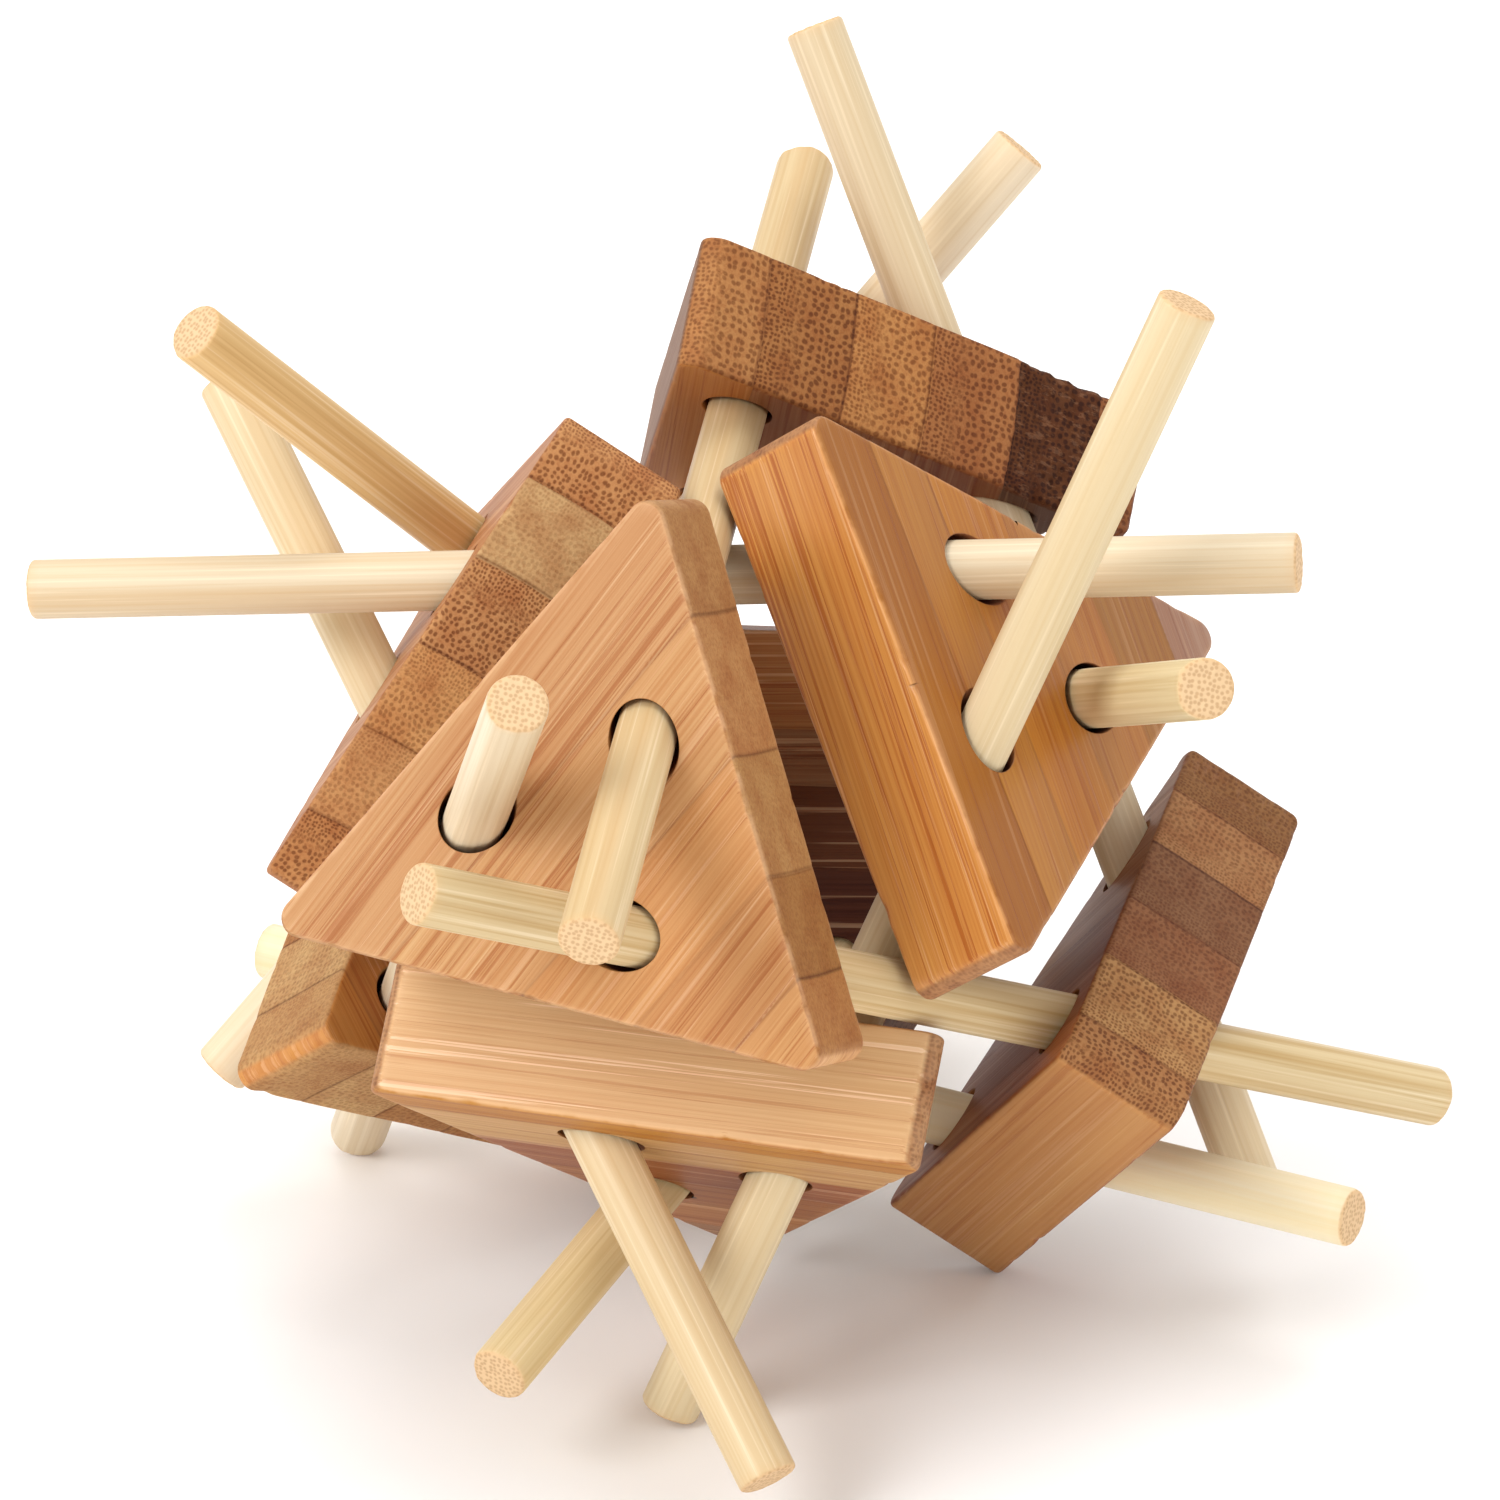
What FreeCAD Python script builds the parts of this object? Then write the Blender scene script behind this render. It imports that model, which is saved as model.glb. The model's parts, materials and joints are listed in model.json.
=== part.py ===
import FreeCAD, Part
import math
import os
from FreeCAD import Vector

# Sticks-and-triangles interlocking puzzle in bamboo: 8 triangular plates and 12 round sticks, each kind
# alike. Each plate has three slanting holes. Each stick passes through two plates, so four plates and six
# sticks make an open tetrahedral frame. The outer frame's sticks all pass just outside the inner frame's.
# Millimetres, +Z up. The puzzle stands on two stick ends and a plate corner on z = 0, with its origin
# there at the middle of its bounding box. The front plate faces -Y.

# sticks
stickDiameter = 5.0
stickLength = 105.0
stickEndChamfer = 0.3

# plates: equilateral, laminated bamboo
plateSide = 48.8
plateThickness = 11.2
plateCornerRadius = 1.6
plateEdgeRadius = 0.4

# holes, measured in a plate's middle plane and from the corner that each hole belongs to (degrees)
holeDiameter = 5.8
holeFromCentre = 11.75
holeBearing = -10.33
holeTilt = 36.57
holeLeanBearing = -156.7

# the two frames: plate distance from the middle and turn about its normal, then the sticks' distance from
# the middle and their turn about the puzzle's square axes (degrees)
frames = {
    "outer": {"plateDistance": 34.97, "plateTurn": -7.61, "stickDistance": 29.33, "stickTurn": 9.36},
    "inner": {"plateDistance": 25.64, "plateTurn": -3.92, "stickDistance": 24.08, "stickTurn": 11.30},
}

# each plate faces one corner of a cube round the puzzle
plates = {
    "front": ("outer", (1, 1, 1)),
    "top": ("outer", (-1, 1, -1)),
    "lower_right": ("outer", (1, -1, -1)),
    "lower_left": ("outer", (-1, -1, 1)),
    "upper_left": ("inner", (-1, 1, 1)),
    "bottom": ("inner", (1, -1, 1)),
    "right": ("inner", (1, 1, -1)),
    "back": ("inner", (-1, -1, -1)),
}

# the two plates that each stick joins, and how far it has been slid towards the first
sticks = {
    ("front", "top"): 1.5,
    ("front", "lower_right"): -3.8,
    ("front", "lower_left"): 1.0,
    ("top", "lower_right"): 6.3,
    ("lower_right", "lower_left"): 0.2,
    ("top", "lower_left"): 2.4,
    ("right", "upper_left"): -4.6,
    ("right", "bottom"): 8.4,
    ("upper_left", "bottom"): -0.7,
    ("right", "back"): -4.0,
    ("bottom", "back"): -5.4,
    ("upper_left", "back"): 5.2,
}

# what the puzzle stands on: two stick ends, each the end at the second plate, and one plate's corner
standingSticks = [("right", "bottom"), ("front", "lower_left")]
standingPlate = "lower_right"


# a stick's outermost circles at either end, as (distance from the middle, radius)
stickRims = [
    (stickLength / 2, stickDiameter / 2 - stickEndChamfer),
    (stickLength / 2 - stickEndChamfer, stickDiameter / 2),
]

settlingSteps = 50  # rounds of finding the level that the standing points share


def unit(vector):
    return Vector(vector) / Vector(vector).Length


def turned(vector, axis, degrees):
    return FreeCAD.Rotation(axis, degrees).multVec(vector)


def frameMatrix(xAxis, yAxis, zAxis, origin):
    rows = [(xAxis[i], yAxis[i], zAxis[i], origin[i]) for i in range(3)]
    return FreeCAD.Placement(FreeCAD.Matrix(*rows[0], *rows[1], *rows[2], 0, 0, 0, 1))


def plateShape():
    """One plate: outer face up, first corner along +X, centred on the origin."""
    cornerDistance = plateSide / math.sqrt(3)
    corners = [Vector(cornerDistance, 0, -plateThickness / 2)]
    corners += [turned(corners[0], Vector(0, 0, 1), angle) for angle in (120, 240)]
    outline = Part.Face(Part.makePolygon(corners + corners[:1]))
    body = outline.extrude(Vector(0, 0, plateThickness))
    upright = [edge for edge in body.Edges if edge.BoundBox.ZLength > plateThickness / 2]
    body = body.makeFillet(plateCornerRadius, upright)
    rims = [edge for edge in body.Edges if edge.BoundBox.ZLength < plateEdgeRadius]
    body = body.makeFillet(plateEdgeRadius, rims)
    for corner in (0, 120, 240):
        centre = turned(Vector(holeFromCentre, 0, 0), Vector(0, 0, 1), corner + holeBearing)
        sideways = Vector(math.sin(math.radians(holeTilt)), 0, 0)
        lean = turned(sideways, Vector(0, 0, 1), corner + holeLeanBearing)
        along = lean + Vector(0, 0, math.cos(math.radians(holeTilt)))
        reach = 2 * plateThickness
        body = body.cut(Part.makeCylinder(holeDiameter / 2, 2 * reach, centre - along * reach, along))
    return body


def stickShape():
    """One stick along +Z, centred on the origin, its ends lightly chamfered."""
    body = Part.makeCylinder(stickDiameter / 2, stickLength, Vector(0, 0, -stickLength / 2))
    rims = [edge for edge in body.Edges if edge.BoundBox.ZLength < stickEndChamfer]
    return body.makeChamfer(stickEndChamfer, rims)


def platePlacement(name):
    frame, facing = plates[name]
    normal = unit(facing)
    upCorner = Vector(0, facing[1], 0)
    upCorner = unit(upCorner - normal * upCorner.dot(normal))
    xAxis = turned(upCorner, normal, frames[frame]["plateTurn"])
    return frameMatrix(xAxis, normal.cross(xAxis), normal, normal * frames[frame]["plateDistance"])


def stickLine(pair):
    """The stick's middle point, and its direction towards the first plate."""
    frame = plates[pair[0]][0]
    first, second = (unit(plates[name][1]) for name in pair)
    squareAxis = unit(first + second)
    along = turned(unit(first - second), squareAxis, frames[frame]["stickTurn"])
    return squareAxis * frames[frame]["stickDistance"] + along * sticks[pair], along


def stickPlacement(pair):
    middle, along = stickLine(pair)
    side = unit(along.cross(Vector(0, 1, 0)))
    return frameMatrix(side, along.cross(side), along, middle)


def lowestOfStick(pair, up):
    """Where the stick's end at the second plate touches a level surface below it."""
    middle, along = stickLine(pair)
    outward = unit(along * along.dot(up) - up)
    return min((middle - along * reach + outward * radius for reach, radius in stickRims),
               key=lambda point: point.dot(up))


def lowestOfPlate(name, up):
    """Where the plate's lowest rounded corner touches a level surface below it."""
    placement = platePlacement(name)
    down = placement.inverse().Rotation.multVec(up * -1)
    flat = unit(Vector(down.x, down.y, 0)) * (plateCornerRadius - plateEdgeRadius)
    height = math.copysign(plateThickness / 2 - plateEdgeRadius, down.z)
    centre = Vector(plateSide / math.sqrt(3) - 2 * plateCornerRadius, 0, 0)
    corners = [turned(centre, Vector(0, 0, 1), angle) for angle in (0, 120, 240)]
    lowest = max(corners, key=lambda corner: corner.dot(down))
    return placement.multVec(lowest + flat + Vector(0, 0, height) + down * plateEdgeRadius)


def standingPlacement():
    """Turns the puzzle so that what it stands on is level and the front plate faces -Y."""
    up = Vector(0, 1, 0)
    for _ in range(settlingSteps):
        a, b = (lowestOfStick(pair, up) for pair in standingSticks)
        c = lowestOfPlate(standingPlate, up)
        across = unit((b - a).cross(c - a))
        up = across if across.dot(up) > 0 else across * -1
    front = unit(plates["front"][1])
    back = unit(up * front.dot(up) - front)
    turn = frameMatrix(back.cross(up), back, up, Vector(0, 0, 0)).inverse()
    drop = Vector(0, 0, -c.dot(up))
    return FreeCAD.Placement(drop, FreeCAD.Rotation()) * turn


def stickExtent(placement, direction):
    """How far the sticks reach along a direction once placed, worked out from their end circles."""
    reach = []
    for pair in sticks:
        middle, along = stickLine(pair)
        middle, along = placement.multVec(middle), placement.Rotation.multVec(along)
        lean = along.dot(direction)
        for length, radius in stickRims:
            reach.append(middle.dot(direction) + abs(lean) * length + radius * math.sqrt(1 - lean * lean))
    return max(reach)


def centred(placement):
    middle = Vector(0, 0, 0)
    for axis in (Vector(1, 0, 0), Vector(0, 1, 0)):
        middle += axis * (stickExtent(placement, axis) - stickExtent(placement, axis * -1)) / 2
    return FreeCAD.Placement(middle * -1, FreeCAD.Rotation()) * placement


def pieces():
    """Every piece by name, in its place."""
    standing = centred(standingPlacement())
    plate, stick = plateShape(), stickShape()
    placed = {}
    for name in plates:
        shape = plate.copy()
        shape.Placement = standing * platePlacement(name)
        placed[name + "_plate"] = shape
    for pair in sticks:
        shape = stick.copy()
        shape.Placement = standing * stickPlacement(pair)
        placed["stick_" + pair[0] + "_to_" + pair[1]] = shape
    return placed


os.makedirs("parts", exist_ok=True)
for name, shape in pieces().items():
    shape.exportStep("parts/" + name + ".step")
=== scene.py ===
import bpy
import bmesh
import json
import math
import numpy as np
from mathutils import Matrix, Vector


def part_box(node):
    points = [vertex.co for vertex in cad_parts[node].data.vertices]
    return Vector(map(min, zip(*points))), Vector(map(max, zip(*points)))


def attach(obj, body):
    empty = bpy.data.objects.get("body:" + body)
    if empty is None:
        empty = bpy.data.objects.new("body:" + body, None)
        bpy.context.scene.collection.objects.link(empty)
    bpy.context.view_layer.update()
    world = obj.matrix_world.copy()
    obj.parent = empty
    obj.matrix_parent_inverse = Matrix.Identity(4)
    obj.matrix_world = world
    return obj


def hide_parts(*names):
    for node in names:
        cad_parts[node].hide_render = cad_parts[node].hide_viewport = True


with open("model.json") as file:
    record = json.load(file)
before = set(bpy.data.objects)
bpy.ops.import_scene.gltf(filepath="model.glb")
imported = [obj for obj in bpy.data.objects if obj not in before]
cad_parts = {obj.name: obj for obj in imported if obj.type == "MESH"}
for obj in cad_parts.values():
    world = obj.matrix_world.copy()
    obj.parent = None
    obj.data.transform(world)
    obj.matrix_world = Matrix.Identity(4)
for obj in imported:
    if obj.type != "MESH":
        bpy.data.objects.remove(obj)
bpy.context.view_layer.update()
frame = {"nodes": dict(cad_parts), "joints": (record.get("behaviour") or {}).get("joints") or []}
mm = 0.001
print("frame loaded")


# sRGB hex to linear: a channel up to 0.04045 is divided by 12.92, above it ((c + 0.055) / 1.055) ^ 2.4
def toLinear(hexColour, alpha=1.0):
    channels = [int(hexColour[i:i + 2], 16) / 255 for i in (1, 3, 5)]
    return [c / 12.92 if c <= 0.04045 else ((c + 0.055) / 1.055) ** 2.4 for c in channels] + [alpha]


# adds a node: inputs are values or other nodes' outputs, stops is (interpolation, [(place, colour)])
def addNode(tree, kind, inputs=None, stops=None, **settings):
    node = tree.nodes.new(kind)
    for name, value in settings.items():
        setattr(node, name, value)
    for socket, value in (inputs or {}).items():
        if isinstance(value, bpy.types.NodeSocket):
            tree.links.new(value, node.inputs[socket])
        else:
            node.inputs[socket].default_value = value
    if stops:
        node.color_ramp.interpolation, places = stops
        elements = node.color_ramp.elements
        while len(elements) < len(places):
            elements.new(0.5)
        for element, (place, colour) in zip(elements, places):
            element.position, element.color = place, colour
    return node


# sum of 24 sine waves in random directions, wavelengths around size: about -1 to 1
def smoothNoise(points, size, seed):
    count, reach = 24, 5.2  # waves, and about how far their sum goes
    random = np.random.default_rng(seed)
    waves = random.normal(size=(count, points.shape[1]))
    waves *= 2 * math.pi / size * random.uniform(0.6, 1.6, (count, 1)) / np.linalg.norm(waves, axis=1)[:, None]
    return np.sin(points @ waves.T + random.uniform(0, 2 * math.pi, count)).sum(1) / reach


# 0 below low, 1 above high, and 3t^2 - 2t^3 between
def smoothStep(value, low, high):
    t = np.clip((value - low) / (high - low), 0, 1)
    return t * t * (3 - 2 * t)


# quads between neighbouring rows and columns of a grid whose first point is number start
def gridQuads(rows, columns, start, closed):
    index = start + np.arange(rows * columns).reshape(rows, columns)
    if closed:
        index = np.concatenate([index, index[:, :1]], axis=1)
    return np.stack([index[:-1, :-1], index[:-1, 1:], index[1:, 1:], index[1:, :-1]], -1).reshape(-1, 4)


# a mesh object from grids in a piece's own millimetres, moved to its place by axes (columns x, y, z) and middle
def makePiece(name, points, quads, marks, axes, middle):
    mesh = bpy.data.meshes.new(name)
    mesh.vertices.add(len(points))
    mesh.vertices.foreach_set("co", ((points @ axes.T + middle) * mm).astype(np.float32).ravel())
    mesh.loops.add(quads.size)
    mesh.loops.foreach_set("vertex_index", quads.astype(np.int32).ravel())
    mesh.polygons.add(len(quads))
    mesh.polygons.foreach_set("loop_start", np.arange(0, quads.size, 4, dtype=np.int32))
    mesh.update(calc_edges=True)
    mesh.attributes.new("marks", "FLOAT_VECTOR", "POINT").data.foreach_set(
        "vector", marks.astype(np.float32).ravel())
    grid = bmesh.new()
    grid.from_mesh(mesh)
    bmesh.ops.remove_doubles(grid, verts=grid.verts, dist=2e-6)
    bmesh.ops.recalc_face_normals(grid, faces=grid.faces)
    for face in grid.faces:
        face.smooth = True
    grid.to_mesh(mesh)
    grid.free()
    normals = np.empty(len(mesh.vertices) * 3, np.float32)
    mesh.vertices.foreach_get("normal", normals)
    facing = normals.reshape(-1, 3) @ axes  # which way the surface faces, in the piece's own axes
    mesh.attributes.new("facing", "FLOAT_VECTOR", "POINT").data.foreach_set(
        "vector", facing.astype(np.float32).ravel())
    piece = bpy.data.objects.new(name, mesh)
    bpy.context.scene.collection.objects.link(piece)
    return piece


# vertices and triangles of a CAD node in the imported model, in millimetres
def cadTriangles(node):
    mesh = frame["nodes"][node].data
    mesh.calc_loop_triangles()
    points = np.empty(len(mesh.vertices) * 3, np.float32)
    corners = np.empty(len(mesh.loop_triangles) * 3, np.int32)
    mesh.vertices.foreach_get("co", points)
    mesh.loop_triangles.foreach_get("vertices", corners)
    points = points.reshape(-1, 3).astype(float) / mm
    return points, points[corners.reshape(-1, 3)]


# a stick's middle is its box's middle, and its direction is its slide's axis
stickLines = {}
for joint in frame["joints"]:
    low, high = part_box(joint["child"])
    along = np.array(joint["axis"], float)
    stickLines[joint["child"]] = (np.array(low + high) / 2 / mm, along / np.linalg.norm(along))

puzzleMiddle = np.mean([middle for middle, along in stickLines.values()], axis=0)


# Where a stick's line crosses a plane, from the plane's middle
def crossing(stick, middle, normal):
    start, along = stickLines[stick]
    return start + along * ((middle - start) @ normal) / (along @ normal) - middle


# A plate's own axes: z out of its outer face (the direction most surface area faces, away from the puzzle's
# middle), x towards the corner that the grain runs across, y along the grain. Its middle is the area centroid,
# levelled between the faces. A corner is the threefold angle of the farthest vertices.
def plateAxes(node, grainStick):
    points, triangles = cadTriangles(node)
    areas = np.cross(triangles[:, 1] - triangles[:, 0], triangles[:, 2] - triangles[:, 0]) / 2
    sizes = np.maximum(np.linalg.norm(areas, axis=1), 1e-9)
    normal = np.linalg.eigh((areas / sizes[:, None]).T @ areas)[1][:, -1]
    middle = (triangles.mean(1) * sizes[:, None]).sum(0) / sizes.sum()
    normal *= np.sign(normal @ (middle - puzzleMiddle))
    heights = (points - middle) @ normal
    middle = middle + normal * (heights.max() + heights.min()) / 2
    flat = points - middle
    flat -= np.outer(flat @ normal, normal)
    aside = np.cross(normal, (0.31, 0.52, 0.8))
    aside /= np.linalg.norm(aside)
    turn = (flat @ aside) + 1j * (flat @ np.cross(normal, aside))
    far = turn[np.abs(turn) > np.abs(turn).max() - 0.02]
    first = np.angle((far ** 3).sum()) / 3
    hole = crossing(grainStick, middle, normal)
    corners = [aside * math.cos(a) + np.cross(normal, aside) * math.sin(a)
               for a in first + np.radians([0, 120, 240])]
    x = max(corners, key=lambda corner: corner @ hole)
    return np.stack([x, np.cross(normal, x), normal], axis=1), middle


# plates are sawn to triangles, drilled and sanded; millimetres, then how many steps a grid has
plateMaker = {
    "side": 48.8, "thickness": 11.2, "cornerRadius": 1.6, "holeRadius": 2.9,  # as in the part's source
    "edgeRadius": 0.41, "edgeUnevenness": 0.025, "mouthBevel": 0.14,  # sanding
    "stripStep": 0.04, "faceRelief": 0.006, "jointDepth": 0.03,  # strips never sand quite level
    "alongSide": 54, "aroundCorner": 10, "toMiddle": 26, "acrossFace": 18, "throughWall": 22, "throughHole": 12,
}
inradius = plateMaker["side"] / math.sqrt(12)
boardWidth = 3 * inradius  # from the long-grain side to the opposite corner

# grainCorner: the stick through the corner that the grain runs across
# chips: nicks in each edge; tornFrom: where a splintered end starts, mm from the long-grain side; tornDepth: mm
# strips: (width in mm from the long-grain side, face tone, sawn-end tone, how strongly the bundles show)
# lines, paleLines: how strongly fibres show on (faces, the long-grain side); grainTurn: degrees on the same two
# fineness: scales the bundles; wander: how far joints stray, mm; shine: specular level of the lacquer
# edgeTone, edgeShow: tone of the edges, where pale a painted highlight over wear, and how strongly it shows;
# pinhole: its place on the outer face, mm
plateLooks = {
    "front_plate": {
        "grainCorner": "stick_front_to_lower_right", "seed": 11, "chips": 4, "tornFrom": None, "tornDepth": 0,
        "strips": [(9.3, "#c6996a", "#a87a4a", 0.12), (10.0, "#c89b69", "#af7e4d", 0.1),
                   (8.5, "#c5905b", "#aa7e4c", 0.12), (7.2, "#c2905c", "#9b6c3b", 0.12),
                   (7.3, "#ca9963", "#a87441", 0.15)],
        "sideTone": "#c68e60", "lines": (0.55, 0.5), "paleLines": (0.2, 0.3), "fineness": 1.5,
        "wander": 0.15, "grainTurn": (4.0, -1.0), "shine": 0.25, "roughness": 0.42,
        "edgeTone": "#ecc198", "edgeShow": 0.55, "pinhole": None},
    "top_plate": {
        "grainCorner": "stick_top_to_lower_right", "seed": 23, "chips": 5, "tornFrom": 29.2, "tornDepth": 0.5,
        "strips": [(6.5, "#c48c4e", "#b37d4a", 0.6), (7.7, "#9c6c45", "#a77140", 0.72),
                   (7.1, "#a07048", "#ba824b", 0.6), (7.9, "#946340", "#a26a3d", 0.68),
                   (7.4, "#5f3f2c", "#583116", 0.8), (5.7, "#7a4f38", "#8a5632", 0.64)],
        "sideTone": "#7f5a3d", "lines": (0.5, 0.5), "paleLines": (0.1, 0.1), "fineness": 1.28,
        "wander": 0.35, "grainTurn": (2.0, 1.5), "shine": 0.18, "roughness": 0.45,
        "edgeTone": "#6b4229", "edgeShow": 0.4, "pinhole": None},
    "lower_right_plate": {
        "grainCorner": "stick_top_to_lower_right", "seed": 37, "chips": 6, "tornFrom": 37.5, "tornDepth": 0.2,
        "strips": [(5.2, "#a05e30", "#a57447", 0.72), (7.7, "#90552e", "#b18554", 0.63),
                   (7.6, "#874f2e", "#8f603f", 0.41), (7.4, "#92603f", "#855c3e", 0.41),
                   (7.1, "#94664a", "#a3754b", 0.45), (7.3, "#8a5c40", "#895f38", 0.45)],
        "sideTone": "#bc8951", "lines": (0.5, 0.35), "paleLines": (0.1, 0.1), "fineness": 1.5,
        "wander": 0.4, "grainTurn": (1.5, -0.5), "shine": 0.2, "roughness": 0.36,
        "edgeTone": "#5f3a26", "edgeShow": 0.5, "pinhole": None},
    "lower_left_plate": {
        "grainCorner": "stick_front_to_lower_left", "seed": 41, "chips": 5, "tornFrom": None, "tornDepth": 0,
        "strips": [(6.9, "#b07a48", "#a87648", 0.35), (7.2, "#ac7646", "#b07c4a", 0.35),
                   (7.0, "#b07a4a", "#b48350", 0.35), (6.8, "#a87242", "#b07e4c", 0.3),
                   (7.1, "#c0864a", "#c39c69", 0.3), (7.3, "#c88a46", "#bd925f", 0.25)],
        "sideTone": "#b68550", "lines": (0.4, 0.4), "paleLines": (0.2, 0.2), "fineness": 1.5,
        "wander": 0.3, "grainTurn": (-2.0, -1.0), "shine": 0.2, "roughness": 0.42,
        "edgeTone": "#d9a877", "edgeShow": 0.5, "pinhole": None},
    "upper_left_plate": {
        "grainCorner": "stick_upper_left_to_bottom", "seed": 53, "chips": 6, "tornFrom": None, "tornDepth": 0,
        "strips": [(6.0, "#b27e54", "#c08b59", 0.68), (6.9, "#b88458", "#c6a271", 0.24),
                   (7.6, "#b07c50", "#c3905e", 0.72), (7.4, "#b48054", "#cd9961", 0.48),
                   (7.4, "#b68256", "#c6935f", 0.36), (6.9, "#ae784c", "#b8804e", 0.68)],
        "sideTone": "#b27e54", "lines": (0.4, 0.4), "paleLines": (0.2, 0.2), "fineness": 1.65,
        "wander": 0.4, "grainTurn": (1.0, -1.5), "shine": 0.18, "roughness": 0.45,
        "edgeTone": "#7d4c2e", "edgeShow": 0.5, "pinhole": None},
    "bottom_plate": {
        "grainCorner": "stick_bottom_to_back", "seed": 67, "chips": 5, "tornFrom": None, "tornDepth": 0,
        "strips": [(4.6, "#bb8333", "#a6764c", 0.5), (7.4, "#c8a169", "#a6764c", 0.5),
                   (7.3, "#9c5e32", "#9c6c46", 0.5), (7.6, "#a66b34", "#9a6a46", 0.5),
                   (7.4, "#b27636", "#a07048", 0.5), (7.9, "#a0724a", "#a07048", 0.5)],
        "sideTone": "#dbb281", "lines": (0.5, 0.35), "paleLines": (0.3, 0.95), "fineness": 1.3,
        "wander": 0.3, "grainTurn": (1.0, -1.0), "shine": 0.3, "roughness": 0.36,
        "edgeTone": "#f2c697", "edgeShow": 0.6, "pinhole": (9.9, -1.1)},
    "right_plate": {
        "grainCorner": "stick_right_to_back", "seed": 71, "chips": 4, "tornFrom": None, "tornDepth": 0,
        "strips": [(6.2, "#9d6321", "#a07048", 0.4), (5.6, "#b17936", "#a06c44", 0.4),
                   (7.6, "#b6782e", "#a87048", 0.4), (7.4, "#ad753a", "#a06c44", 0.4),
                   (7.6, "#9b6b34", "#a26e48", 0.4), (7.8, "#9e7a65", "#a26e48", 0.4)],
        "sideTone": "#cf924a", "lines": (0.4, 0.65), "paleLines": (0.1, 0.25), "fineness": 1.2,
        "wander": 0.3, "grainTurn": (-3.0, 3.0), "shine": 0.45, "roughness": 0.24,
        "edgeTone": "#e8ae72", "edgeShow": 0.55, "pinhole": None},
    # back_plate: the strips from about 8 mm on are darkened as painted shade, for the face that lies deep in the
    # gap between the front and right plates
    "back_plate": {
        "grainCorner": "stick_bottom_to_back", "seed": 89, "chips": 4, "tornFrom": None, "tornDepth": 0,
        "strips": [(8.1, "#b07c4a", "#8c5c3c", 0.5), (4.8, "#926a48", "#80543a", 0.5),
                   (7.1, "#64371a", "#6c4630", 0.5), (7.4, "#552a16", "#64402c", 0.5),
                   (7.2, "#5f3c2a", "#6a4630", 0.5), (7.6, "#5a3828", "#66422e", 0.5)],
        "sideTone": "#845636", "lines": (0.7, 0.6), "paleLines": (0.3, 0.25), "fineness": 1.0,
        "wander": 0.3, "grainTurn": (2.0, -1.0), "shine": 0.25, "roughness": 0.42,
        "edgeTone": "#a8764c", "edgeShow": 0.4, "pinhole": None},
}


# points turned about z by so many degrees
def turned(points, degrees):
    c, s = math.cos(math.radians(degrees)), math.sin(math.radians(degrees))
    return np.concatenate([points[..., :2] @ np.array([[c, s], [-s, c]]), points[..., 2:]], axis=-1)


# A third of the plate's outline with its inward directions: straight from a side's middle, round the corner on
# +x by an arc, and straight to the next side's middle
def outlineThird():
    m = plateMaker
    slope = math.radians(-60)
    straight = m["side"] / 2 - m["cornerRadius"] * math.sqrt(3)
    steps = np.linspace(0, straight, m["alongSide"] + 1)[:, None]
    outward = np.array([[math.cos(slope), math.sin(slope)]])
    first = outward * inradius + steps * np.array([[-outward[0, 1], outward[0, 0]]])
    angles = np.linspace(slope, -slope, m["aroundCorner"] + 1)[1:-1]
    arcOutward = np.stack([np.cos(angles), np.sin(angles)], -1)
    arc = arcOutward * m["cornerRadius"] + np.array([[2 * inradius - 2 * m["cornerRadius"], 0]])
    flip = np.array([[1, -1]])
    points = np.concatenate([first, arc, first[::-1] * flip])
    inward = -np.concatenate([outward.repeat(len(first), 0), arcOutward,
                              (outward * flip).repeat(len(first), 0)])
    return points, inward


# How far an edge is sanded back: a base radius, slow unevenness, round-bottomed chips, and a ragged torn end
def edgeRadius(points, look, side):
    m = plateMaker
    random = np.random.default_rng(look["seed"] + side)
    radius = m["edgeRadius"] + m["edgeUnevenness"] * np.abs(smoothNoise(points, 12, look["seed"] + side))
    places = points[random.integers(0, len(points), look["chips"])]
    widths, depths = random.uniform(0.3, 0.9, look["chips"]), random.uniform(0.08, 0.32, look["chips"])
    gaps = np.linalg.norm(points[:, None] - places[None], axis=2)
    radius += (depths * np.exp(-(gaps / widths) ** 2)).sum(1)
    if look["tornFrom"]:
        torn = smoothStep(points[:, 0] + inradius, look["tornFrom"] - 1, look["tornFrom"] + 2)
        radius += torn * look["tornDepth"] * (0.6 + np.abs(smoothNoise(points, 2.2, look["seed"] + 5 + side)))
    return radius


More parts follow.
